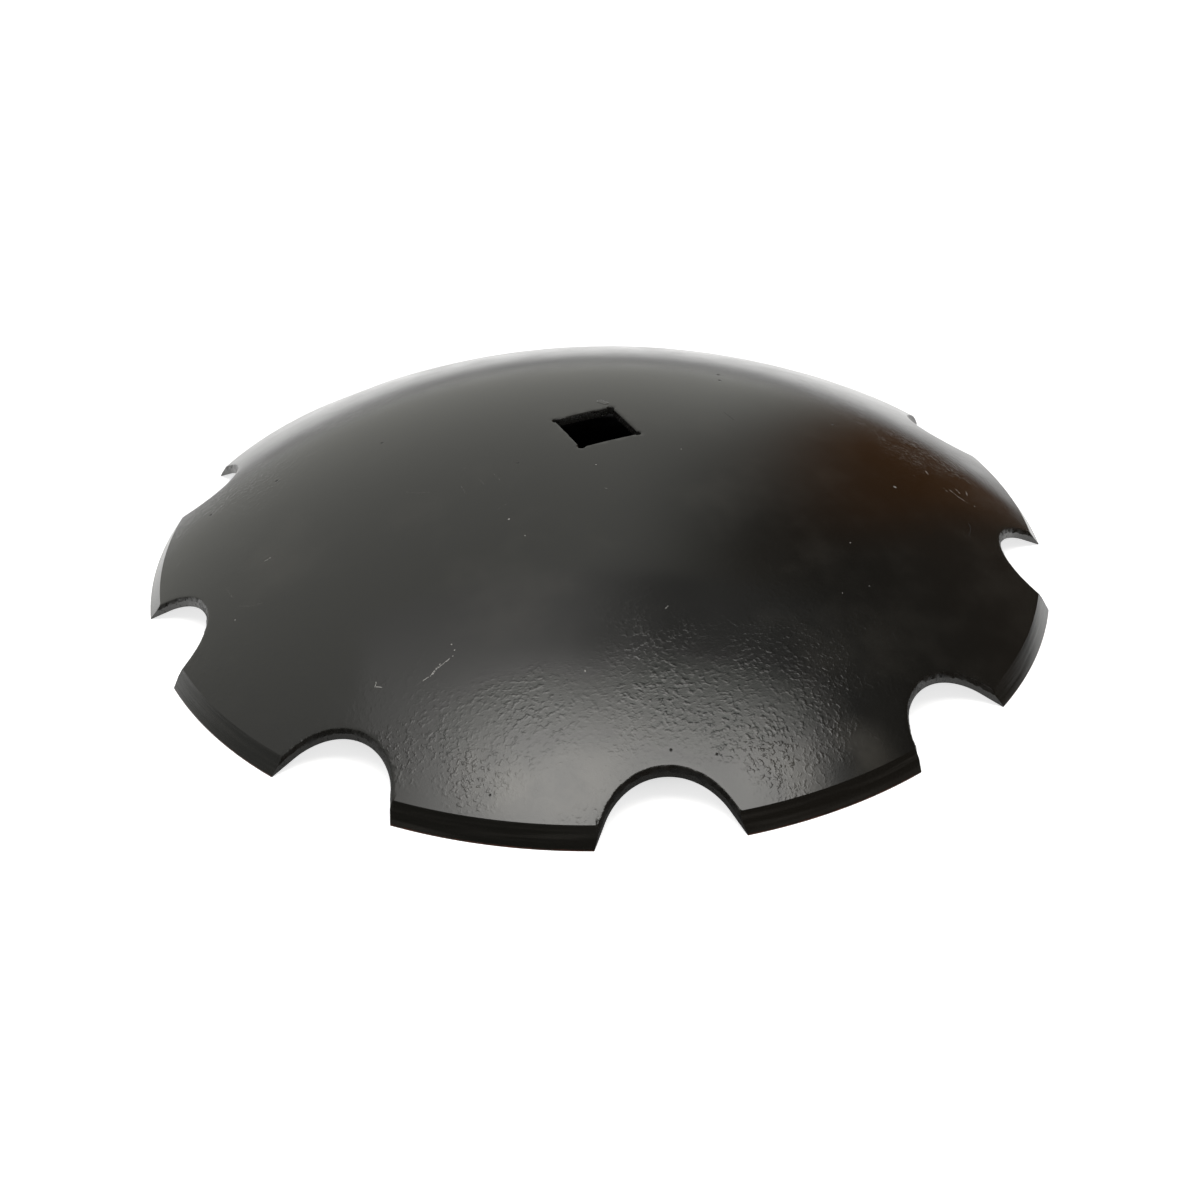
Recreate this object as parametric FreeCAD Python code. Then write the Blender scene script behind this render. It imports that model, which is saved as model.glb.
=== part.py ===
"""Notched harrow disc blade: one pressed steel dish with a ground cutting edge.

Millimetres, +Z along the gang axle, convex face up. The origin is the centre of
the cutting circle, so the teeth stand on the plane z = 0.
"""
import FreeCAD
import Part

import math
import os

# ---- driving dimensions --------------------------------------------------
BLADE_DIAMETER = 660.0      # circle of the cutting edge
PLATE_THICKNESS = 6.0       # rolled plate, the same all over the dish
DISH_RADIUS = 654.0         # spherical radius of the concave face
EDGE_LAND = 0.8             # unground strip left at the foot of the bevel
BEVEL_RUN = 8.6             # how far in from the edge the convex face is ground

NOTCH_COUNT = 10            # notches, with as many teeth between them
NOTCH_DEPTH = 36.3          # from the cutting circle in to the root
NOTCH_ROOT_RADIUS = 41.7    # round root of each notch
NOTCH_FLANK_ANGLE = 31.0    # each flank, from the notch's centre line
BREAK_RUN = 1.6             # torn band of the shear: its width on the convex face
BREAK_DEPTH = 2.6           # and its depth down the wall of the notch

AXLE_SQUARE = 45.0          # square gang axle that carries the blade
AXLE_CLEARANCE = 0.5        # on each side of the axle
CORNER_RELIEF_RADIUS = 2.5  # dog-ear in each corner of the square hole
CORNER_RELIEF_REACH = 0.9   # how far a dog-ear runs out past its corner

TOLERANCE = 1e-4            # for telling faces and edges apart

# ---- values worked out from them -----------------------------------------
edge_radius = BLADE_DIAMETER / 2
dish_centre_z = -math.sqrt(DISH_RADIUS ** 2 - edge_radius ** 2)
convex_radius = DISH_RADIUS + PLATE_THICKNESS
crown_z = dish_centre_z + convex_radius
bevel_top_radius = edge_radius - BEVEL_RUN
hole_side = AXLE_SQUARE + 2 * AXLE_CLEARANCE


def on_sphere(radius, r):
    """Point of the section at distance r from the axle, on a sphere of the dish."""
    return FreeCAD.Vector(r, 0, dish_centre_z + math.sqrt(radius ** 2 - r ** 2))


def arc(start, middle, end):
    return Part.Arc(start, middle, end).toShape()


def line(start, end):
    return Part.LineSegment(start, end).toShape()


def turned_dish():
    """The whole dish before it is pierced: the section, turned about the axle."""
    half = edge_radius / 2
    under_crown = on_sphere(DISH_RADIUS, 0)
    edge_foot = on_sphere(DISH_RADIUS, edge_radius)
    edge_top = edge_foot + FreeCAD.Vector(0, 0, EDGE_LAND)
    bevel_top = on_sphere(convex_radius, bevel_top_radius)
    crown = on_sphere(convex_radius, 0)
    section = Part.Wire([
        arc(under_crown, on_sphere(DISH_RADIUS, half), edge_foot),
        line(edge_foot, edge_top),
        line(edge_top, bevel_top),
        arc(bevel_top, on_sphere(convex_radius, half), crown),
        line(crown, under_crown),
    ])
    return Part.Face(section).revolve(FreeCAD.Vector(), FreeCAD.Vector(0, 0, 1), 360)


def punch(wire):
    """A straight punch of the wire's outline, through the dish along the axle."""
    foot = -PLATE_THICKNESS
    stroke = crown_z + 2 * PLATE_THICKNESS
    return Part.Face(wire).extrude(FreeCAD.Vector(0, 0, stroke)).translated(FreeCAD.Vector(0, 0, foot))


def notch_punch():
    """Round root with flanks that open outwards, tangent to it."""
    flank = math.radians(NOTCH_FLANK_ANGLE)
    root_r = edge_radius - NOTCH_DEPTH
    centre_r = root_r + NOTCH_ROOT_RADIUS
    tangent_x = centre_r - NOTCH_ROOT_RADIUS * math.sin(flank)
    tangent_y = NOTCH_ROOT_RADIUS * math.cos(flank)
    mouth_x = edge_radius + PLATE_THICKNESS
    mouth_y = tangent_y + (mouth_x - tangent_x) * math.tan(flank)
    root = FreeCAD.Vector(root_r, 0, 0)
    tangents = [FreeCAD.Vector(tangent_x, side * tangent_y, 0) for side in (-1, 1)]
    mouths = [FreeCAD.Vector(mouth_x, side * mouth_y, 0) for side in (-1, 1)]
    return punch(Part.Wire([
        line(mouths[0], tangents[0]),
        arc(tangents[0], root, tangents[1]),
        line(tangents[1], mouths[1]),
        line(mouths[1], mouths[0]),
    ]))


def axle_punch():
    """Square for the axle, with a round dog-ear that clears each of its corners."""
    half = hole_side / 2
    corners = [FreeCAD.Vector(x * half, y * half, 0) for x, y in ((-1, -1), (1, -1), (1, 1), (-1, 1))]
    square = punch(Part.makePolygon(corners + corners[:1]))
    corner_reach = half * math.sqrt(2) + CORNER_RELIEF_REACH
    ear_offset = (corner_reach - CORNER_RELIEF_RADIUS) / math.sqrt(2)
    ears = []
    for corner in corners:
        centre = FreeCAD.Vector(math.copysign(ear_offset, corner.x), math.copysign(ear_offset, corner.y), 0)
        ears.append(punch(Part.Wire(Part.makeCircle(CORNER_RELIEF_RADIUS, centre))))
    return square.multiFuse(ears)


def notch_brinks(dish):
    """Edges where the notch walls meet the convex face, apart from its seam."""
    brinks = []
    for face in dish.Faces:
        if not isinstance(face.Surface, Part.Sphere) or abs(face.Surface.Radius - convex_radius) > TOLERANCE:
            continue
        for edge in face.Edges:
            middle = edge.valueAt((edge.FirstParameter + edge.LastParameter) / 2)
            on_bevel = math.hypot(middle.x, middle.y) > bevel_top_radius - TOLERANCE
            if not on_bevel and not edge.isSeam(face):
                brinks.append(edge)
    return brinks


def disc_blade():
    """Dish, then its notches with their torn brinks, then the hole for the axle."""
    pitch = 360.0 / NOTCH_COUNT
    first = notch_punch()
    punches = []
    for index in range(NOTCH_COUNT):
        punches.append(first.rotated(FreeCAD.Vector(), FreeCAD.Vector(0, 0, 1), index * pitch))
    notched = turned_dish().cut(punches)
    broken = notched.makeChamfer(BREAK_DEPTH, BREAK_RUN, notch_brinks(notched))
    return broken.cut(axle_punch())


blade = disc_blade()
solid = blade.Solids[0]
os.makedirs("parts", exist_ok=True)
solid.exportStep("parts/disc_blade.step")

print("disc_blade: solids", len(blade.Solids), "valid", solid.isValid(), "faces", len(solid.Faces))
print("height", round(solid.BoundBox.ZLength, 2), "steel kg", round(solid.Volume * 7.85e-6, 2))
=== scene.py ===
# %% [markdown]
# # A notched disc blade
#
# A harrow disc is one plate of steel: pressed to a dish, punched, ground to an edge and painted black. This lesson
# makes the same forms in that order, and then the finish. The CAD model gives the true sizes, so it is loaded first.
# It could be painted as it is, but its faces are long uneven triangles, which break up a gloss. So a new blade with
# close, even rings is made to the same sizes, and takes its place at the end.

import math

import bmesh
import bpy
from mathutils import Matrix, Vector, noise


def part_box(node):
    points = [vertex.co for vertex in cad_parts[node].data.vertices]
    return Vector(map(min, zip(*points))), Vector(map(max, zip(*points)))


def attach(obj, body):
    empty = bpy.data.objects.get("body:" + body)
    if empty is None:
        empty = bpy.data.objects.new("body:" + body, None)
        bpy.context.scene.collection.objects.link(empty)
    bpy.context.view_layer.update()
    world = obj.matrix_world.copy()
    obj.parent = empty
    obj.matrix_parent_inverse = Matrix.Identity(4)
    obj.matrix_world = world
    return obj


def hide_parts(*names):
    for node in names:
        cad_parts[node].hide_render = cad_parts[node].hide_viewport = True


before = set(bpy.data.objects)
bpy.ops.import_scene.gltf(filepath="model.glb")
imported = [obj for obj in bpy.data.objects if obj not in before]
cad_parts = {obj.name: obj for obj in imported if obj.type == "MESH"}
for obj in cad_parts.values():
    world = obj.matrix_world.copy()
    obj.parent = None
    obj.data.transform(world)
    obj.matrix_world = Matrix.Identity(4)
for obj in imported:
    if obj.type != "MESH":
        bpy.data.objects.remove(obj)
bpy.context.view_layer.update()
blade_low, blade_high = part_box("disc_blade")
print("CAD blade, m:", [round(high - low, 4) for low, high in zip(blade_low, blade_high)])

# %% [markdown]
# ## Sizes
#
# These are the sizes of the CAD model, in metres, each written once. Both faces of the dish are parts of spheres with
# one centre, which lies below the floor, so the plate is equally thick all over. The teeth stand on z = 0 and the axle
# runs along +Z.

# %% Sizes of the blade
EDGE_RADIUS = 0.330
PLATE = 0.006
CONCAVE_RADIUS = 0.654
CONVEX_RADIUS = CONCAVE_RADIUS + PLATE
EDGE_LAND = 0.0008
BEVEL_TOP_RADIUS = EDGE_RADIUS - 0.0086
NOTCH_COUNT = 10
NOTCH_DEPTH = 0.0363
NOTCH_ROOT_RADIUS = 0.0417
FLANK = math.radians(31.0)
HOLE_SIDE = 0.046
EAR_RADIUS = 0.0025
EAR_REACH = 0.0009

CENTRE_Z = -math.sqrt(CONCAVE_RADIUS ** 2 - EDGE_RADIUS ** 2)
CENTRE = Vector((0, 0, CENTRE_Z))


def height(sphere_radius, r):
    """Height of a sphere of the dish above the floor, at distance r from the axle."""
    return CENTRE_Z + math.sqrt(sphere_radius ** 2 - r ** 2)


print("bevel starts at height", round(height(CONVEX_RADIUS, BEVEL_TOP_RADIUS), 4))
print("crown at height", round(height(CONVEX_RADIUS, 0), 4))

# %% [markdown]
# ## Helpers for edit mode
#
# An operator acts on all that is selected, and the loaded CAD model comes in selected. So each step starts by
# deselecting everything, and then works on its own object alone. Where a shape follows a formula, edit mode also lets
# a script put the vertices of the mesh in place, as a hand would type them in the sidebar.


# %% Helpers for edit mode
def only(obj):
    """Object mode, with this object alone selected and active."""
    if bpy.context.mode != "OBJECT":
        bpy.ops.object.mode_set(mode="OBJECT")
    bpy.ops.object.select_all(action="DESELECT")
    obj.select_set(True)
    bpy.context.view_layer.objects.active = obj


def edit(obj):
    """Edit mode on this object alone, with nothing in it selected."""
    only(obj)
    bpy.ops.object.mode_set(mode="EDIT")
    bpy.ops.mesh.select_mode(type="VERT")
    bpy.ops.mesh.select_all(action="DESELECT")


def done():
    """Leave edit mode, and give back the object that was edited."""
    bpy.ops.object.mode_set(mode="OBJECT")
    return bpy.context.view_layer.objects.active


def named(obj, name):
    """Name the object and its mesh."""
    obj.name = name
    obj.data.name = name
    return obj


def edit_loop(name, points):
    """Start a piece as a circle, laid out along a closed loop of points, and stay in its edit mode."""
    bpy.ops.object.select_all(action="DESELECT")
    bpy.ops.mesh.primitive_circle_add(vertices=len(points), fill_type="NOTHING")
    piece = named(bpy.context.object, name)
    edit(piece)
    mesh = bmesh.from_edit_mesh(piece.data)
    for vertex, point in zip(mesh.verts, points):
        vertex.co = point
    bmesh.update_edit_mesh(piece.data)
    bpy.ops.mesh.select_all(action="SELECT")
    return piece


def outward_faces():
    """Turn every face of the mesh outwards."""
    bpy.ops.mesh.select_all(action="SELECT")
    bpy.ops.mesh.normals_make_consistent(inside=False)


# %% [markdown]
# ## The dish
#
# A dish is a turned form. It could be a slice of a sphere given thickness, but then the ground edge would have to be
# cut on afterwards. Spinning its section round the axle gives the faces and the edge in one step. The section is a
# closed loop: out along the concave face, up the narrow land, back along the ground bevel and in over the convex
# face. It starts a little off the axle, inside the place of the square hole, so no face narrows to a point. The
# convex face gets close rings because it carries the reflections; the concave one needs far fewer.

# %% Draw the section and spin it
SPIN_STEPS = 720
CONVEX_RINGS = 68
CONCAVE_RINGS = 18
INNER_RADIUS = 0.020


def face_points(sphere_radius, outer, rings):
    """Points of the section on one face, from the rim inwards."""
    radii = [outer + (INNER_RADIUS - outer) * ring / rings for ring in range(rings + 1)]
    return [Vector((r, 0, height(sphere_radius, r))) for r in radii]


concave = face_points(CONCAVE_RADIUS, EDGE_RADIUS, CONCAVE_RINGS)
concave[0].z = 0.0
section = list(reversed(concave))
section.append(Vector((EDGE_RADIUS, 0, EDGE_LAND)))
section += face_points(CONVEX_RADIUS, BEVEL_TOP_RADIUS, CONVEX_RINGS)

blade = edit_loop("blade", section)
bpy.ops.mesh.spin(steps=SPIN_STEPS, angle=math.tau, center=(0, 0, 0), axis=(0, 0, 1))
bpy.ops.mesh.select_all(action="SELECT")
bpy.ops.mesh.remove_doubles(threshold=1e-6)
outward_faces()
done()
print("dish:", len(blade.data.polygons), "faces")

# %% [markdown]
# ## Four finishes on one plate
#
# The plate is painted all over, but the paint lies on four kinds of surface: the rolled face, the ground bevel, the
# torn upper part of a punched wall, and the burnished lower part. One material could tell them apart by masks. Four
# are simpler to read, and the punches can hand theirs to the walls that they cut. The nodes come further on.

# %% Material slots
DOWNWARD = -0.1

paint = bpy.data.materials.new("black_paint_on_rolled_face")
bevel_finish = bpy.data.materials.new("black_paint_on_ground_bevel")
wall_finish = bpy.data.materials.new("black_paint_on_sheared_wall")
torn_finish = bpy.data.materials.new("black_paint_on_torn_brink")

for finish in (paint, bevel_finish):
    blade.data.materials.append(finish)
for face in blade.data.polygons:
    x, y, z = face.center
    on_bevel = math.hypot(x, y) > BEVEL_TOP_RADIUS and face.normal.z > DOWNWARD
    face.material_index = 1 if on_bevel else 0
print("bevel:", sum(face.material_index for face in blade.data.polygons), "faces")

# %% [markdown]
# ## A punch
#
# A punch leaves three things on a wall: a smooth straight part, a torn part that leans back towards the face where
# the slug broke away, and a slightly rounded brink. A plain extruded cutter with a bevel afterwards would give an
# even edge, which looks machined. So the cutter itself has the three steps: its outline is extruded ring by ring,
# and each ring lies a little further out and a little nearer the face, at a depth that wanders.


# %% Build a cutter from its outline
UNEVEN_PER_METRE = 90
UNEVEN_STEP = 7.3


def along_normal(points, index):
    """Outward direction of a closed outline, in plan, at one of its points."""
    before, after = points[index - 1], points[(index + 1) % len(points)]
    along = (after - before).normalized()
    return Vector((along.y, -along.x))


def unevenness(point, seed):
    """A smooth random number near zero for a point of an outline. Each punch has a seed of its own."""
    spot = Vector((point.x * UNEVEN_PER_METRE, point.y * UNEVEN_PER_METRE, seed * UNEVEN_STEP))
    return noise.noise(spot * 3.1) * 0.6 + noise.noise(spot * 9.0) * 0.4


def punch(name, outline, steps, wobble, seed):
    """A closed cutter. steps are (offset, depth under the convex face); wobble makes the depths a little uneven."""
    count = len(outline)
    outward = [along_normal(outline, index) for index in range(count)]
    rough = [unevenness(point, seed) for point in outline]
    cutter = edit_loop(name, [Vector((point.x, point.y, -PLATE)) for point in outline])
    for number, (offset, depth) in enumerate(steps + [(steps[-1][0], -2 * PLATE)]):
        bpy.ops.mesh.extrude_edges_move()
        mesh = bmesh.from_edit_mesh(cutter.data)
        mesh.verts.ensure_lookup_table()
        for index in range(count):
            x, y = outline[index] + outward[index] * offset
            uneven = 1 + wobble * rough[index] if number < len(steps) - 1 else 1
            top = height(CONVEX_RADIUS, math.hypot(x, y))
            mesh.verts[count * (number + 1) + index].co = Vector((x, y, top - depth * uneven))
        bmesh.update_edit_mesh(cutter.data)
    bpy.ops.mesh.select_all(action="DESELECT")
    bpy.ops.mesh.select_mode(type="EDGE")
    bpy.ops.mesh.select_non_manifold(extend=False)
    bpy.ops.mesh.edge_face_add()
    outward_faces()
    return done()


# %% [markdown]
# ## The notches
#
# The notches bite into clods and stalks. Each has a round root and two flanks that leave it at a tangent. Ten
# punches stand round the rim. They could be ten copies of one, but then every brink would be torn alike, so each
# gets its own unevenness, as ten strokes of one press would leave.

# %% Ten notch punches
ROOT_STEPS = 60
FLANK_STEPS = 22
NOTCH_STEPS = [(0.0, 0.0026), (0.0009, 0.0008), (0.0013, 0.0003), (0.0017, 0.0001), (0.0023, 0.0), (0.0043, -0.0012)]
NOTCH_WOBBLE = 0.9


def turned(points, turn):
    """The points turned about the axle."""
    cosine, sine = math.cos(turn), math.sin(turn)
    return [Vector((p.x * cosine - p.y * sine, p.x * sine + p.y * cosine)) for p in points]


def notch_outline(turn):
    """Plan of a notch: up one flank, round the root and out along the other, turned about the axle."""
    centre = EDGE_RADIUS - NOTCH_DEPTH + NOTCH_ROOT_RADIUS
    tangent = Vector((centre - NOTCH_ROOT_RADIUS * math.sin(FLANK), NOTCH_ROOT_RADIUS * math.cos(FLANK)))
    mouth_x = EDGE_RADIUS + 2 * PLATE
    mouth = Vector((mouth_x, tangent.y + (mouth_x - tangent.x) * math.tan(FLANK)))
    half = [mouth.lerp(tangent, step / FLANK_STEPS) for step in range(FLANK_STEPS)]
    sweep = math.pi / 2 - FLANK
    for step in range(ROOT_STEPS // 2 + 1):
        angle = sweep * (1 - step / (ROOT_STEPS / 2))
        half.append(Vector((centre - NOTCH_ROOT_RADIUS * math.cos(angle), NOTCH_ROOT_RADIUS * math.sin(angle))))
    other = [Vector((point.x, -point.y)) for point in reversed(half[:-1])]
    return turned(half + other, turn)


notches = []
for index in range(NOTCH_COUNT):
    outline = notch_outline(index * math.tau / NOTCH_COUNT)
    notches.append(punch(f"notch_punch_{index}", outline, NOTCH_STEPS, NOTCH_WOBBLE, index))
print("notch punches:", len(notches), "with", len(notches[0].data.polygons), "faces each")

# %% [markdown]
# ## The square hole
#
# The blade is driven by a square axle. The hole's corners have small round ears, because the axle has sharp corners
# and a punch can't. A square cutter and four round ones would do, but with the ears in the outline one cutter makes
# the whole hole, and its brink runs on round the ears.

# %% The axle punch
SIDE_STEPS = 24
EAR_STEPS = 14
HOLE_STEPS = [(0.0, 0.0030), (0.0002, 0.0009), (0.0005, 0.0004), (0.0009, 0.00012), (0.0014, 0.0), (0.0026, -0.0008)]
HOLE_WOBBLE = 0.3
HOLE_SEED = 31


def hole_outline():
    """Plan of the hole: an ear and a side, four times."""
    half = HOLE_SIDE / 2
    ear = (half * math.sqrt(2) + EAR_REACH - EAR_RADIUS) / math.sqrt(2)
    open_angle = math.acos(min(1.0, (half - ear) / EAR_RADIUS))
    start, end = math.pi / 2 + open_angle, -open_angle
    quarter = []
    for step in range(EAR_STEPS + 1):
        angle = start + (end - start) * step / EAR_STEPS
        quarter.append(Vector((ear + EAR_RADIUS * math.cos(angle), ear + EAR_RADIUS * math.sin(angle))))
    side_top = quarter[-1].y
    for step in range(1, SIDE_STEPS):
        quarter.append(Vector((half, side_top * (1 - 2 * step / SIDE_STEPS))))
    points = []
    for corner in range(4):
        points += turned(quarter, -corner * math.pi / 2)
    return points[::-1]


axle = punch("axle_punch", hole_outline(), HOLE_STEPS, HOLE_WOBBLE, HOLE_SEED)
print("axle punch:", len(axle.data.polygons), "faces")

# %% [markdown]
# ## Punch the plate
#
# The faces of a cutter are the walls that it leaves, so they get their materials before the cut, by how far they
# lean, and the boolean carries them over. The cutters are joined first: one cut through the dish is quicker and
# cleaner than eleven.

# %% Cut with a boolean
WALL_LEAN = 0.15
TORN_LEAN = 0.80


def finish_walls(cutter):
    """Upright faces become the burnished wall, leaning ones the torn part, and flat ones the rounded brink."""
    for finish in (wall_finish, torn_finish, paint):
        cutter.data.materials.append(finish)
    for face in cutter.data.polygons:
        lean = abs(face.normal.z)
        face.material_index = 0 if lean < WALL_LEAN else 1 if lean < TORN_LEAN else 2


def cut(target, cutters):
    """Take the cutters away from the target."""
    bpy.ops.object.select_all(action="DESELECT")
    for cutter in cutters:
        finish_walls(cutter)
        cutter.select_set(True)
    bpy.context.view_layer.objects.active = cutters[0]
    bpy.ops.object.join()
    tool = bpy.context.view_layer.objects.active
    only(target)
    bpy.ops.object.modifier_add(type="BOOLEAN")
    boolean = target.modifiers[-1]
    boolean.operation = "DIFFERENCE"
    boolean.solver = "MANIFOLD"
    boolean.material_mode = "TRANSFER"
    boolean.object = tool
    bpy.ops.object.modifier_apply(modifier=boolean.name)
    bpy.data.objects.remove(tool)


cut(blade, notches + [axle])
print("punched blade:", len(blade.data.polygons), "faces", len(blade.data.vertices), "vertices")
for slot, finish in enumerate(blade.data.materials):
    print("  ", finish.name, sum(face.material_index == slot for face in blade.data.polygons), "faces")

# %% [markdown]
# ## A hot-pressed plate isn't perfectly smooth
#
# The press leaves the dish wavy by less than a tenth of a millimetre, over spans as wide as a hand. It can't be seen
# as shape, but a glossy face shows it at once, because it bends the reflections. A Displace modifier could do it.
# Moving the vertices along the spheres' own radii moves both faces together, so the plate keeps its thickness, and
# the waves can fade out near the floor, where the teeth stand.

# %% Soft waves of the pressing
WAVE_HEIGHT = 0.00007
LONG_WAVES, SHORT_WAVES = 8.0, 21.0
SHORT_SHARE = 0.15
FADE_HEIGHT = 0.02
SMOOTH_ANGLE = math.radians(22)

for vertex in blade.data.vertices:
    flat = Vector((vertex.co.x, vertex.co.y, 0))
    wave = noise.noise(flat * LONG_WAVES) + SHORT_SHARE * noise.noise(flat * SHORT_WAVES)
    fade = min(1.0, vertex.co.z / FADE_HEIGHT)
    up = (vertex.co - CENTRE).normalized()
    vertex.co += up * WAVE_HEIGHT * wave * fade
blade.data.update()

only(blade)
bpy.ops.object.shade_smooth_by_angle(angle=SMOOTH_ANGLE)
print("blade box, m:", [round(value, 4) for value in blade.dimensions])

# %% [markdown]
# ## Soft maps kept on the mesh
#
# The plate is pebbled in some places, where scale lay under the paint, and hazy in others, where the paint has
# dulled and where its colour is also lightened as a painted sheen on the front of the dish. Noise alone can't say
# where. Weights painted by hand could, and a list of soft round spots does the same in a script: their sum is kept on
# the mesh as one number per vertex, and a material reads it with an Attribute node. Each spot is x, y and reach in
# millimetres, and a strength.

# %% Pebbled places, and hazy places with painted sheen
PEBBLED = [
    (-72, -240, 42, 0.95), (-35, -232, 34, 0.35), (-30, -262, 36, 0.60), (-60, -275, 32, 0.55),
    (-25, -300, 36, 1.00), (10, -285, 40, 0.35), (35, -250, 50, 0.22), (85, -285, 40, 0.45), (125, -275, 35, 0.60),
    (95, -225, 50, 0.35), (-60, -200, 48, 0.45), (0, -205, 45, 0.20), (-200, -203, 38, 0.75),
    (-230, -195, 28, 0.90), (-190, -240, 32, 0.45), (-160, -225, 45, 0.50), (-120, -225, 45, 0.35),
    (-105, -262, 30, 0.45), (-150, -262, 35, 0.30), (-205, -160, 45, 0.35), (160, 110, 80, 0.20),
    (215, 40, 60, 0.22), (240, -60, 60, 0.35), (-72, -238, 24, 0.50),
]
# Hazy spots: dust haze, and also a painted sheen that lightens the colour on the front of the dish.
HAZE_AND_SHEEN_SPOTS = [
    (-183, -237, 30, 0.9), (-175, -252, 26, 0.7), (-155, -258, 30, 0.6), (-140, -268, 34, 0.8),
    (-115, -262, 36, 0.6), (-27, -306, 40, 0.7), (25, -312, 30, 0.5),
]
UNDERSIDE_MARGIN = 0.002


def soft_map(obj, name, spots):
    """Store the sum of the spots on the convex side."""
    values = []
    for vertex in obj.data.vertices:
        x, y, z = vertex.co * 1000
        outside = (vertex.co - CENTRE).length > CONVEX_RADIUS - UNDERSIDE_MARGIN
        value = 0.0
        for spot_x, spot_y, reach, strength in spots if outside else ():
            near = 1 - math.hypot(x - spot_x, y - spot_y) / reach
            if near > 0:
                value += strength * near * near * (3 - 2 * near)
        values.append(value)
    obj.data.attributes.new(name, "FLOAT", "POINT").data.foreach_set("value", values)
    print(name, "reaches", sum(value > 0 for value in values), "vertices")


soft_map(blade, "pebbled", PEBBLED)
soft_map(blade, "haze_and_sheen_map", HAZE_AND_SHEEN_SPOTS)

# %% [markdown]
# ## Writing materials as sums
#
# Node trees are easier to read as formulas. One small class wraps a socket: arithmetic on it adds Math nodes, and
# its node method adds any other kind. A material starts from an empty tree with one shader, and a dictionary says
# what goes into that shader's inputs.


# %% The socket class
class Socket:
    """An output socket in a node tree."""

    def __init__(self, tree, socket=None):
        self.tree = tree
        self.socket = socket

    def node(self, kind, settings=None, inputs=None, output=0):
        """Add a node: its settings first, then the values or links of its sockets."""
        new = self.tree.nodes.new(kind)
        for key, value in (settings or {}).items():
            setattr(new, key, value)
        for key, value in (inputs or {}).items():
            if isinstance(value, Socket):
                self.tree.links.new(value.socket, new.inputs[key])
            else:
                new.inputs[key].default_value = value
        return Socket(self.tree, new.outputs[output])

    def math(self, operation, *values):
        return self.node("ShaderNodeMath", {"operation": operation}, dict(enumerate(values)))

    def __add__(self, other):
        return self.math("ADD", self, other)

    def __sub__(self, other):
        return self.math("SUBTRACT", self, other)

    def __mul__(self, other):
        return self.math("MULTIPLY", self, other)

    def __truediv__(self, other):
        return self.math("DIVIDE", self, other)

    def __radd__(self, other):
        return self.math("ADD", other, self)

    def __rsub__(self, other):
        return self.math("SUBTRACT", other, self)

    def __rmul__(self, other):
        return self.math("MULTIPLY", other, self)

    def __rtruediv__(self, other):
        return self.math("DIVIDE", other, self)

    def ramp(self, low, high, to_low=0.0, to_high=1.0):
        """Smooth step from to_low at low to to_high at high."""
        return self.node("ShaderNodeMapRange", {"interpolation_type": "SMOOTHSTEP"},
                         {"Value": self, "From Min": low, "From Max": high, "To Min": to_low, "To Max": to_high})

    def mix(self, first, second):
        """The colour first where this is 0, and second where it is 1."""
        settings = {"data_type": "RGBA", "clamp_factor": True}
        return self.node("ShaderNodeMix", settings, {0: self, 6: first, 7: second}, output=2)

    def bump(self):
        """A normal bent by this height, in metres."""
        return self.node("ShaderNodeBump", {}, {"Strength": 1.0, "Distance": 1.0, "Height": self})


def fresh(owner, shader_kind="ShaderNodeBsdfPrincipled", output_kind="ShaderNodeOutputMaterial"):
    """Empty the nodes of a material or world. Gives a socket to start from, and its one shader."""
    owner.use_nodes = True
    tree = owner.node_tree
    tree.nodes.clear()
    shader = tree.nodes.new(shader_kind)
    output = tree.nodes.new(output_kind)
    tree.links.new(shader.outputs[0], output.inputs["Surface"])
    return Socket(tree), shader


def feed(shader, values):
    """Link or set inputs of the shader, by name."""
    for name, value in values.items():
        if isinstance(value, Socket):
            value.tree.links.new(value.socket, shader.inputs[name])
        else:
            shader.inputs[name].default_value = value


# %% [markdown]
# ## Where on the blade
#
# All the patterns are laid out in the blade's own coordinates, in metres, so they stay on it in every view. A UV map
# would do too, but a dish has no seam to cut along. From the position come the distance from the axle and the noise
# that every finish is made of.


# %% Coordinates that the finishes share
def coordinates(start):
    """The position on the piece, and its x, y and z."""
    position = start.node("ShaderNodeTexCoord", output="Object")
    return [position] + [start.node("ShaderNodeSeparateXYZ", inputs={0: position}, output=axis) for axis in range(3)]


def length(across, up):
    return across.math("SQRT", across * across + up * up)


def vector(x, y, z):
    return x.node("ShaderNodeCombineXYZ", inputs={0: x, 1: y, 2: z})


def texture(position, scale, detail=2.0, roughness=0.5, distortion=0.0):
    """Noise from 0 to 1 with features of about 1 / scale metres."""
    inputs = {"Vector": position, "Scale": scale, "Detail": detail, "Roughness": roughness, "Distortion": distortion}
    return position.node("ShaderNodeTexNoise", {}, inputs)


# %% [markdown]
# ## Marks of handling
#
# A blade is stacked and dragged, and the paint has a few pits, specks and scratches from it. They could be painted
# into an image. Here each is a dot or a short line, given in millimetres by its place, or its two ends, and its
# width: the distance to it, worked out per point, gives its mask, which stays sharp however near the camera comes.

# %% The list of marks
PITS = [
    (-214.0, 106.4, 1.5), (-137.5, 81.6, 1.3), (-264.6, 118.3, 1.4), (-69.3, -19.3, 0.9), (140.5, 69.3, 1.6),
    (132.9, 54.0, 1.5), (123.5, 81.9, 0.8), (182.9, -32.8, 0.9), (-81.4, -272.1, 0.9), (-57.8, -284.1, 0.8),
    (-184.4, -248.1, 0.7),
]
SPECKS = [
    (-98.7, -74.2, 0.8), (-95.8, -94.6, 0.5), (-105.9, -208.2, 0.7), (179.4, -119.5, 1.3), (104.6, -173.3, 0.5),
    (95.6, -210.0, 0.4), (73.4, -211.8, 0.4), (-23.2, -48.8, 0.5), (40.8, -53.4, 0.5), (-169.2, -151.0, 0.6),
    (-169.1, -155.7, 0.6), (-171.5, -159.0, 0.5), (242.6, -134.6, 0.5), (-279.1, -32.1, 0.5),
]
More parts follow.
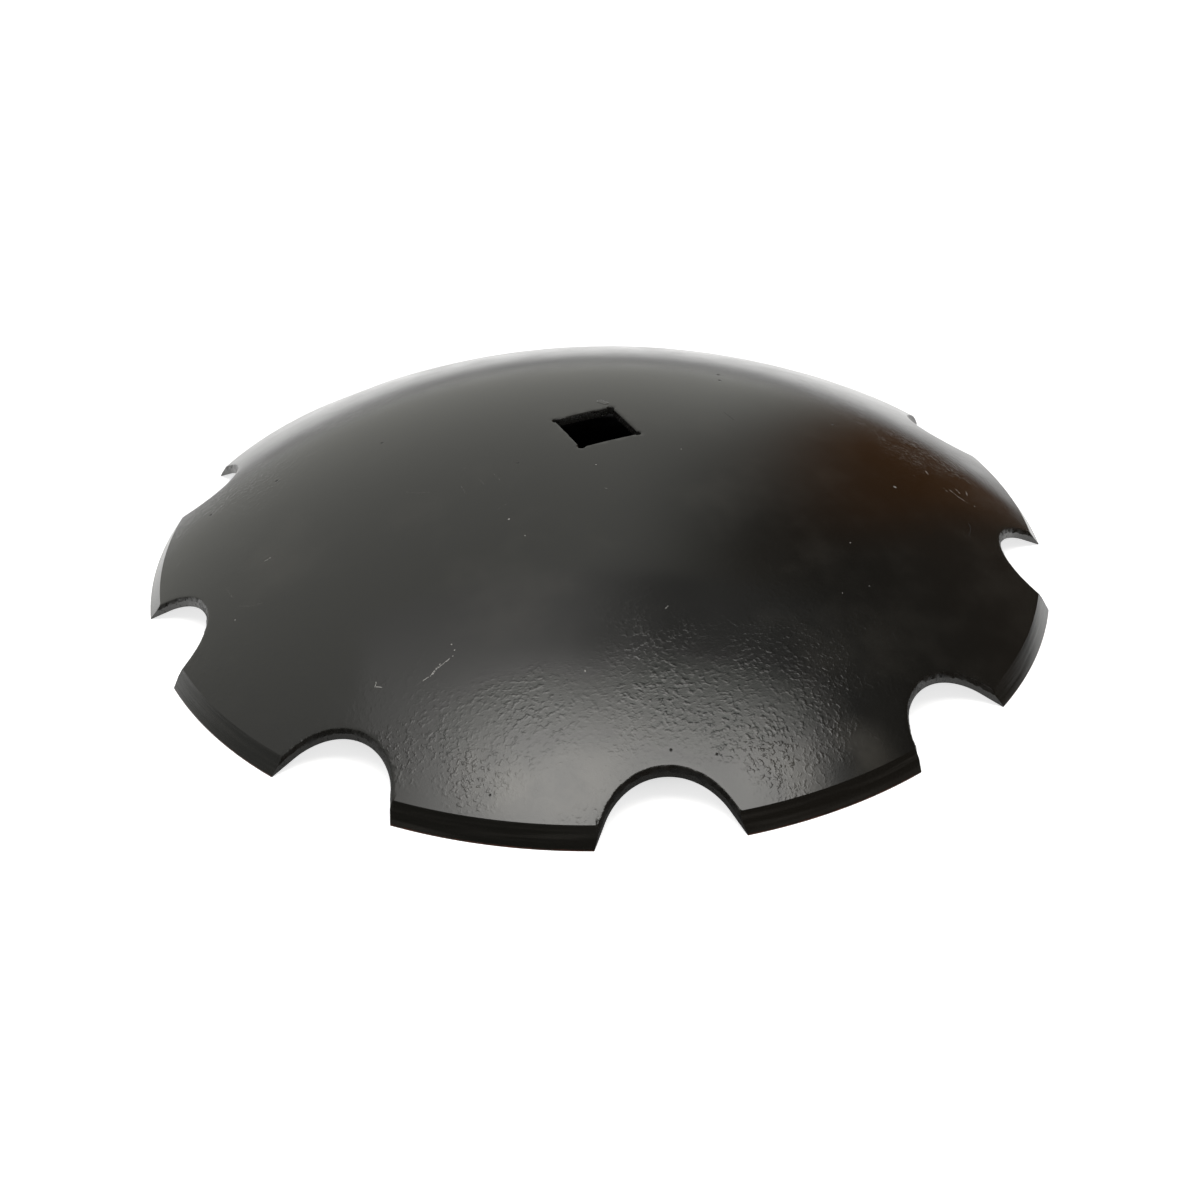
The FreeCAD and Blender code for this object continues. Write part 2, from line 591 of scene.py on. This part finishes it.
SCRATCHES = [
    ((-188.7, -164.3), (-183.2, -161.1), 0.55), ((-192.9, -164.2), (-188.4, -163.7), 0.45),
    ((-181.8, -161.4), (-174.0, -159.6), 0.5), ((-186.3, -163.6), (-180.2, -159.7), 0.5),
    ((231.5, -116.6), (233.6, -123.4), 0.5), ((227.5, -115.9), (227.2, -120.7), 0.4),
    ((239.6, -115.1), (239.4, -120.4), 0.55), ((233.6, -124.2), (237.9, -131.1), 0.55),
    ((248.6, -116.7), (246.3, -121.0), 0.6), ((226.2, -94.5), (225.3, -99.5), 0.6),
    ((-217.6, -147.7), (-219.3, -150.1), 0.45), ((-219.3, -150.1), (-216.0, -153.1), 0.45),
    ((-248.3, 6.9), (-243.3, 6.3), 0.3), ((-29.5, -75.6), (-28.5, -77.3), 0.4),
    ((-42.2, -189.3), (-39.6, -188.1), 0.4),
]
SCUFFS = [
    ((-105.6, -2.8), (-98.2, -1.0), 0.5), ((-99.5, -19.9), (-98.5, -30.7), 0.6),
    ((-88.7, -19.1), (-87.7, -31.4), 0.5), ((-112.6, -21.4), (-113.1, -32.3), 0.6),
    ((-92.9, -58.5), (-101.0, -60.6), 0.4), ((-276.6, 5.3), (-275.4, -8.2), 0.5),
    ((-273.1, -22.3), (-267.5, -28.7), 0.6), ((-267.5, -28.7), (-260.1, -33.3), 0.5),
    ((-146.1, -1.3), (-139.8, -8.7), 0.4), ((-139.8, -8.7), (-133.2, -13.0), 0.4),
]
DARK_LINES = [
    ((219.2, -156.7), (217.4, -161.7), 0.6), ((217.4, -161.7), (209.5, -169.7), 0.45),
    ((100.2, -10.7), (100.9, -23.6), 0.3),
]
FLAKE = [((20.2, 36.4), (22.2, 31.8), 4.2)]
MM = 1000


def dots(x, y, marks):
    """Mask of round marks."""
    total = 0.0
    for mark_x, mark_y, size in marks:
        distance = length(x - mark_x / MM, y - mark_y / MM)
        total = distance.ramp(size / MM / 2, size / MM / 0.9, 1.0, 0.0) + total
    return total


def lines(x, y, marks):
    """Mask of short lines, each from one point to another."""
    total = 0.0
    for (x0, y0), (x1, y1), width in marks:
        dx, dy = (x1 - x0) / MM, (y1 - y0) / MM
        across, up = x - x0 / MM, y - y0 / MM
        along = (across * dx + up * dy) / (dx * dx + dy * dy)
        along = along.node("ShaderNodeClamp", {}, {"Value": along})
        distance = length(across - along * dx, up - along * dy)
        total = distance.ramp(width / MM / 3, width / MM / 1.3, 1.0, 0.0) + total
    return total


print("marks:", sum(len(marks) for marks in (PITS, SPECKS, SCRATCHES, SCUFFS, DARK_LINES, FLAKE)))

# %% [markdown]
# ## Black paint on the rolled face
#
# The paint is thin and follows the scale of the rolled steel, so it is pebbled in patches. It is semi-gloss: dark in
# itself, it takes nearly all of its look from what it reflects, so its relief and roughness matter more than its
# colour. The relief comes first. It is far too fine to model, so it is a bump, with every height in metres.

# %% The relief of the face paint
PEBBLE_HEIGHT = 0.00017
PATCH_GRAIN_HEIGHT = 0.00004
GRAIN_HEIGHT = 0.000011
SWELL_HEIGHT = 0.00004
PIT_DEPTH = 0.0003
SPECK_HEIGHT = 0.00015
FLAKE_HEIGHT = 0.0004

start, shader = fresh(paint)
position, x, y, z = coordinates(start)
radius = length(x, y)
above = length(radius, z - CENTRE_Z).ramp(CONCAVE_RADIUS + 0.002, CONVEX_RADIUS - 0.002)

scattered = texture(position, 15.0, 3.0, 0.55).ramp(0.46, 0.62) * radius.ramp(0.14, 0.26, 0.05, 0.4)
mapped = start.node("ShaderNodeAttribute", {"attribute_name": "pebbled"}, output="Fac")
patches = scattered + mapped * texture(position, 42.0, 3.0, 0.6).ramp(0.34, 0.58, 0.3, 1.0)
pebbles = texture(position, 360.0, 2.0, 0.5, 0.3).ramp(0.46, 0.74)
grain = texture(position, 1300.0, 1.0)
swell = texture(position, 95.0, 2.0)
pits = dots(x, y, PITS) * above
specks = dots(x, y, SPECKS) * above
flake = lines(x, y, FLAKE) * above

relief = patches * pebbles * PEBBLE_HEIGHT + patches * grain * PATCH_GRAIN_HEIGHT
relief = relief + grain * GRAIN_HEIGHT + patches * swell * SWELL_HEIGHT
relief = relief - pits * PIT_DEPTH + specks * SPECK_HEIGHT + flake * FLAKE_HEIGHT
print("face paint, relief:", len(paint.node_tree.nodes), "nodes")

# %% [markdown]
# ## The colour of the face paint
#
# Over the black lies thin dust, thicker where the paint is hazy; the hazy spots are lighter also as a painted sheen
# in the broad sheen on the front of the dish. Scratches and the lifted flake show bare steel. They are broken up by
# noise, because a scratch skips. Pits and dark lines are nearly black and rough.

# %% The colour and gloss of the face paint
BLACK = (0.0082, 0.0080, 0.0072, 1)
DUST_AND_SHEEN_GREY = (0.080, 0.074, 0.064, 1)
BARE = (0.42, 0.41, 0.39, 1)
PIT_BLACK = (0.004, 0.004, 0.004, 1)
PAINT_IOR = 1.65

scratches = lines(x, y, SCRATCHES) * above * texture(position, 900.0, 2.0).ramp(0.40, 0.52)
scuffs = lines(x, y, SCUFFS) * above * texture(position, 700.0, 3.0).ramp(0.45, 0.62)
dark_lines = lines(x, y, DARK_LINES) * above
dust = texture(position, 11.0, 4.0, 0.6).ramp(0.50, 0.75, 0.0, 0.16)
haze_and_sheen_map = start.node("ShaderNodeAttribute", {"attribute_name": "haze_and_sheen_map"}, output="Fac")
# Painted sheen as well as dust haze: these spots lighten the colour where the soft box's sheen lies on the front of
# the dish.
haze_and_sheen = haze_and_sheen_map * texture(position, 45.0, 3.0, 0.55).ramp(0.30, 0.65, 0.15, 0.8)

colour = (dust + haze_and_sheen).mix(BLACK, DUST_AND_SHEEN_GREY)
colour = (specks * 0.8 + scratches * 0.9 + scuffs * 0.10 + flake * 0.05).mix(colour, BARE)
colour = (pits + dark_lines).mix(colour, PIT_BLACK)
dullness = texture(position, 34.0, 3.0).ramp(0.3, 0.75, 0.13, 0.18)
feed(shader, {
    "Base Color": colour,
    "Roughness": dullness + (pits + dark_lines) * 0.5 + scratches * 0.2,
    "IOR": PAINT_IOR,
    "Normal": relief.bump(),
})
print("face paint:", len(paint.node_tree.nodes), "nodes")

# %% [markdown]
# ## Black paint on the ground bevel
#
# The grinding wheel runs round the rim, so its scratches are long along the edge and narrow across it. A stretched
# texture would do on a straight edge. Here the noise is read in the angle round the axle and the distance from it,
# so the scratches bend with the rim. The paint is worn to a brown line on the very edge.

# %% Paint on the ground bevel
STREAK_HEIGHT = 0.000022
BAND_HEIGHT = 0.00009
BEVEL_BLACK = (0.007, 0.007, 0.006, 1)
BEVEL_GREY = (0.020, 0.019, 0.017, 1)
EDGE_BROWN = (0.12, 0.045, 0.025, 1)


def round_the_rim(along, across):
    """Noise drawn out along the rim: features per metre along it and across it."""
    arc = x.math("ARCTAN2", y, x) * (EDGE_RADIUS * along)
    return vector(arc, length(x, y) * across, z * across)


start, shader = fresh(bevel_finish)
position, x, y, z = coordinates(start)
streaks = texture(round_the_rim(14, 900), 1.0, 3.0, 0.6)
bands = texture(round_the_rim(10, 260), 1.0, 2.0)
edge_wear = z.ramp(0.0004, 0.0013, 1.0, 0.0) * texture(position, 180.0, 2.0).ramp(0.35, 0.6, 0.25, 1.0)
ground = bands.ramp(0.45, 0.75).mix(BEVEL_BLACK, BEVEL_GREY)
feed(shader, {
    "Base Color": edge_wear.mix(ground, EDGE_BROWN),
    "Roughness": streaks.ramp(0.3, 0.7, 0.14, 0.24),
    "IOR": PAINT_IOR,
    "Normal": (streaks * STREAK_HEIGHT + bands * BAND_HEIGHT).bump(),
})
print("bevel paint:", len(bevel_finish.node_tree.nodes), "nodes")

# %% [markdown]
# ## Black paint on the burnished walls
#
# Where the punch slid past, the wall is burnished: fine lines along the stroke, soft lumps and a few pits. The lines
# come from noise that is squeezed across the wall and left long along the axle.

# %% Paint on the burnished walls
LINE_HEIGHT = 0.00010
LUMP_HEIGHT = 0.00035
WALL_PIT_DEPTH = 0.0003
WALL_BLACK = (0.014, 0.0135, 0.012, 1)
WALL_PIT_BLACK = (0.005, 0.005, 0.005, 1)

start, shader = fresh(wall_finish)
position, x, y, z = coordinates(start)
stroke_lines = texture(vector(x * 500, y * 500, z * 90), 1.0, 3.0, 0.6)
wall_pits = texture(position, 330.0, 1.0).ramp(0.64, 0.72)
lumps = texture(position, 130.0, 2.0)
feed(shader, {
    "Base Color": wall_pits.mix(WALL_BLACK, WALL_PIT_BLACK),
    "Roughness": stroke_lines.ramp(0.3, 0.7, 0.20, 0.32),
    "IOR": PAINT_IOR,
    "Normal": (stroke_lines * LINE_HEIGHT + lumps * LUMP_HEIGHT - wall_pits * WALL_PIT_DEPTH).bump(),
})
print("wall paint:", len(wall_finish.node_tree.nodes), "nodes")

# %% [markdown]
# ## Black paint on the torn brinks
#
# Above the burnished part the steel broke instead of being cut. The cutter has already given it its lean and its
# wandering edge, so the paint needs only one coarse bump.

# %% Paint on the torn brinks
TORN_HEIGHT = 0.0007
TORN_BLACK = (0.006, 0.006, 0.0055, 1)
TORN_GREY = (0.012, 0.0115, 0.010, 1)

start, shader = fresh(torn_finish)
position, x, y, z = coordinates(start)
coarse = texture(position, 180.0, 2.0, 0.5)
feed(shader, {
    "Base Color": coarse.ramp(0.3, 0.7).mix(TORN_BLACK, TORN_GREY),
    "Roughness": coarse.ramp(0.3, 0.7, 0.22, 0.36),
    "IOR": PAINT_IOR,
    "Normal": (coarse * TORN_HEIGHT).bump(),
})
print("torn paint:", len(torn_finish.node_tree.nodes), "nodes")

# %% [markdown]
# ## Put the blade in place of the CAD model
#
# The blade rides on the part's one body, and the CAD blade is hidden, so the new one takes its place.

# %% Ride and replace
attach(blade, "root")
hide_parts("disc_blade")

# %% [markdown]
# ## The floor
#
# The blade lies on a wide pale floor, which takes its shadow. Seen directly, the floor is topped up to white away
# from the blade with a little glow, which is better than more lamps, because those would bleach the paint too. The
# glow fades out towards the blade. Under the dish the floor's colour is painted dark, a painted shadow. The glossy
# rim mirrors the floor as well, and there the floor is painted: behind and to the left it glows as a painted bright
# reflection, and elsewhere its colour is painted dark, a painted shade as beside a dark wall. The room is laid out as
# the viewer stands, so one turn about the axle is shared by all of it.

# %% Floor
VIEW_TURN = math.radians(24.608)
FLOOR_PALE = (0.86, 0.86, 0.86, 1)
# The dark floor colour is painted shade: a painted shadow under the dish, and painted dark reflections in the rim.
FLOOR_PAINTED_SHADE = (0.02, 0.02, 0.02, 1)
MIRRORED_PAINTED_SHADE = 0.85


def as_viewed(x, y):
    """x and y turned about the axle: to the viewer's right, and away from the viewer."""
    cosine, sine = math.cos(VIEW_TURN), math.sin(VIEW_TURN)
    return x * cosine - y * sine, x * sine + y * cosine


bpy.ops.object.select_all(action="DESELECT")
bpy.ops.mesh.primitive_plane_add(size=40.0, location=(0, 0, 0))
floor = named(bpy.context.object, "floor")
edit(floor)
bpy.ops.mesh.select_all(action="SELECT")
bpy.ops.mesh.subdivide(number_cuts=3)
done()

floor_finish = bpy.data.materials.new("pale_floor")
start, shader = fresh(floor_finish)
position, x, y, z = coordinates(start)
radius = length(x, y)
sideways, onwards = as_viewed(x, y)
seen = start.node("ShaderNodeLightPath", output="Is Camera Ray")
mirrored = start.node("ShaderNodeLightPath", output="Is Glossy Ray")
# Painted reflection: to glossy rays the floor is bright behind and to the left of the blade, and painted dark
# elsewhere.
painted_bright_reflection_left = sideways.ramp(0.34, 0.44, 1.0, 0.0) * onwards.ramp(-0.36, -0.12)
painted_bright_reflection = start.math("MAXIMUM", onwards.ramp(0.05, 0.25), painted_bright_reflection_left)
# Painted shadow: under the dish the floor's colour goes dark for every ray.
painted_shadow_under_dish = radius.ramp(0.16, 0.27, 1.0, 0.0)
painted_shade = start.math("MAXIMUM", painted_shadow_under_dish, mirrored * (1.0 - painted_bright_reflection) * MIRRORED_PAINTED_SHADE)
# For the camera the glow tops the floor up to white; it fades out towards the blade and is gone under the dish.
seen_glow = radius.ramp(0.20, 0.29, 0.0, 0.74) + radius.ramp(0.36, 0.80, 0.0, 0.26)
# Painted reflection: a glow on the bright part of the floor that only glossy rays see.
painted_reflection_glow = mirrored * painted_bright_reflection * radius.ramp(0.30, 0.34) * radius.ramp(0.45, 1.3, 0.65, 0.08)
feed(shader, {
    "Base Color": painted_shade.mix(FLOOR_PALE, FLOOR_PAINTED_SHADE),
    "Roughness": 0.9,
    "Specular IOR Level": 0.0,
    "Emission Color": (seen * seen_glow + painted_reflection_glow).mix((0, 0, 0, 1), (1, 1, 1, 1)),
    "Emission Strength": 1.0,
})
floor.data.materials.append(floor_finish)
print("floor:", len(floor.data.polygons), "faces,", len(floor_finish.node_tree.nodes), "nodes")

# %% [markdown]
# ## The room
#
# The room is pale, so the world is a plain grey for lighting and white where it is seen. What the glossy paint
# reflects matters most: a pale wall behind and to the left, a dark side of the room to the right and behind the
# viewer, and a glimpse of something brown low on the right. Such a room could be an image wrapped round the world.
# Here it is drawn by bearing and rise, both in degrees, as a surveyor would note it: bearing 0 is straight ahead and
# grows to the right, and rise 0 is the horizon.

# %% The room
ROOM_LIGHT = (0.36, 0.36, 0.36, 1)
WHITE = (1, 1, 1, 1)
PALE_WALL = (0.635, 0.635, 0.590, 1)
LEFT_WALL = (0.240, 0.240, 0.225, 1)
UPPER_LEFT = (0.520, 0.520, 0.490, 1)
HORIZON = (0.90, 0.90, 0.88, 1)
CEILING = (0.95, 0.95, 0.90, 1)
DARK_SIDE = (0.045, 0.040, 0.032, 1)
DARK_CEILING = (0.240, 0.230, 0.200, 1)
BROWN_SIDE = (0.125, 0.048, 0.008, 1)
DEGREES = 180 / math.pi

world = bpy.data.worlds.new("studio")
bpy.context.scene.world = world
start, shader = fresh(world, "ShaderNodeBackground", "ShaderNodeOutputWorld")
way = start.node("ShaderNodeTexCoord", output="Generated")
way_x, way_y, way_z = [start.node("ShaderNodeSeparateXYZ", inputs={0: way}, output=axis) for axis in range(3)]
right, away = as_viewed(way_x, way_y)
bearing = start.math("ARCTAN2", right, away) * DEGREES
rise = start.math("ARCSINE", way_z) * DEGREES

aloft = rise.ramp(12.0, 36.0)
dark_right = bearing.ramp(0.0, 34.0) * aloft + bearing.ramp(9.0, 26.0) * (1.0 - aloft)
dark_behind = bearing.ramp(-125.0, -100.0, 1.0, 0.0)
dark = start.math("MAXIMUM", dark_right, dark_behind)
brown = bearing.ramp(33.0, 42.0, 1.0, 0.15) * rise.ramp(24.0, 46.0, 1.0, 0.15) * dark_right
dark_colour = rise.ramp(44.0, 66.0).mix(brown.mix(DARK_SIDE, BROWN_SIDE), DARK_CEILING)

left_wall = rise.ramp(20.0, 50.0).mix(LEFT_WALL, UPPER_LEFT)
wall = bearing.ramp(-98.0, -50.0).mix(left_wall, PALE_WALL)
wall = rise.ramp(-3.0, 7.0).mix(HORIZON, wall)
wall = (rise.ramp(54.0, 68.0) * bearing.ramp(-40.0, 0.0, 1.0, 0.0)).mix(wall, CEILING)

seen = start.node("ShaderNodeLightPath", output="Is Camera Ray")
mirrored = start.node("ShaderNodeLightPath", output="Is Glossy Ray")
through = start.node("ShaderNodeLightPath", output="Is Transmission Ray")
light = mirrored.mix(ROOM_LIGHT, dark.mix(wall, dark_colour))
feed(shader, {"Color": start.math("MAXIMUM", seen, through).mix(light, WHITE), "Strength": 1.0})
print("world:", len(world.node_tree.nodes), "nodes")

# %% [markdown]
# ## The soft box
#
# One large soft box hangs over the blade, and its reflection is the broad sheen on the front of the dish. An area
# lamp has one even brightness and hard ends, which a glossy dish would show as a cut-out. So the soft box is a plane
# that glows: brightest at its middle, fading to its ends, with weaker light spilt beside it. The camera doesn't see
# it.

# %% The soft box
BOX_HEIGHT = 1.7
BOX_PEAK = 3.4
BOX_TINT = (1.0, 0.99, 0.955)
LEFT_END, RIGHT_END = -1.20, 1.35
NEAR_END, FAR_END = -0.90, 0.72


def place(move):
    """Give each selected vertex the place that move works out from its own."""
    mesh = bmesh.from_edit_mesh(bpy.context.edit_object.data)
    for vertex in mesh.verts:
        if vertex.select:
            vertex.co = move(vertex.co)
    bmesh.update_edit_mesh(bpy.context.edit_object.data)


def over_the_room(corner):
    """The corner of the soft box for a corner of a plain square, in the blade's own frame."""
    to_right = RIGHT_END if corner.x > 0 else LEFT_END
    onward = FAR_END if corner.y > 0 else NEAR_END
    cosine, sine = math.cos(-VIEW_TURN), math.sin(-VIEW_TURN)
    return Vector((to_right * cosine - onward * sine, to_right * sine + onward * cosine, BOX_HEIGHT))


bpy.ops.object.select_all(action="DESELECT")
bpy.ops.mesh.primitive_plane_add(size=2.0)
box = named(bpy.context.object, "soft_box")
edit(box)
bpy.ops.mesh.select_all(action="SELECT")
place(over_the_room)
done()

box_finish = bpy.data.materials.new("soft_box_cloth")
start, shader = fresh(box_finish, "ShaderNodeEmission")
position, x, y, z = coordinates(start)
sideways, onwards = as_viewed(x, y)
cloth = sideways.ramp(LEFT_END, -0.15) * sideways.ramp(0.72, 1.30, 1.0, 0.0) * onwards.ramp(-0.45, 0.27, 1.0, 0.0)
side_spill = sideways.ramp(-0.25, 0.40, 0.66, 0.20) * sideways.ramp(0.6, 1.3, 1.0, 0.3)
left_spill = onwards.ramp(0.10, FAR_END, 1.0, 0.0) * sideways.ramp(-0.45, 0.0, 0.28, 0.0)
glow = cloth * BOX_PEAK + side_spill + left_spill
tinted = glow.node("ShaderNodeVectorMath", {"operation": "SCALE"}, {0: BOX_TINT, "Scale": glow})
feed(shader, {"Color": tinted, "Strength": 1.0})
box.data.materials.append(box_finish)
box.visible_camera = False
print("soft box:", [round(value, 2) for value in box.dimensions], "m")

# %% [markdown]
# ## Camera and view
#
# The camera looks down on the dish at a low angle, where a gloss shows best, with a lens long enough to keep the rim
# from bulging. The Standard view shows each colour as it is written.

# %% Camera
CAMERA_PLACE = (-0.35776, -0.78146, 0.53693)
CAMERA_ANGLES = (55.3162, 0.9159, -25.2419)

camera_data = bpy.data.cameras.new("camera")
camera_data.lens = 39.832
camera_data.sensor_width = 36.0
camera = bpy.data.objects.new("camera", camera_data)
bpy.context.scene.collection.objects.link(camera)
camera.location = CAMERA_PLACE
camera.rotation_euler = [math.radians(angle) for angle in CAMERA_ANGLES]
bpy.context.scene.camera = camera
bpy.context.scene.view_settings.view_transform = "Standard"
print("camera is", round(camera.location.length, 2), "m from the foot of the axle")
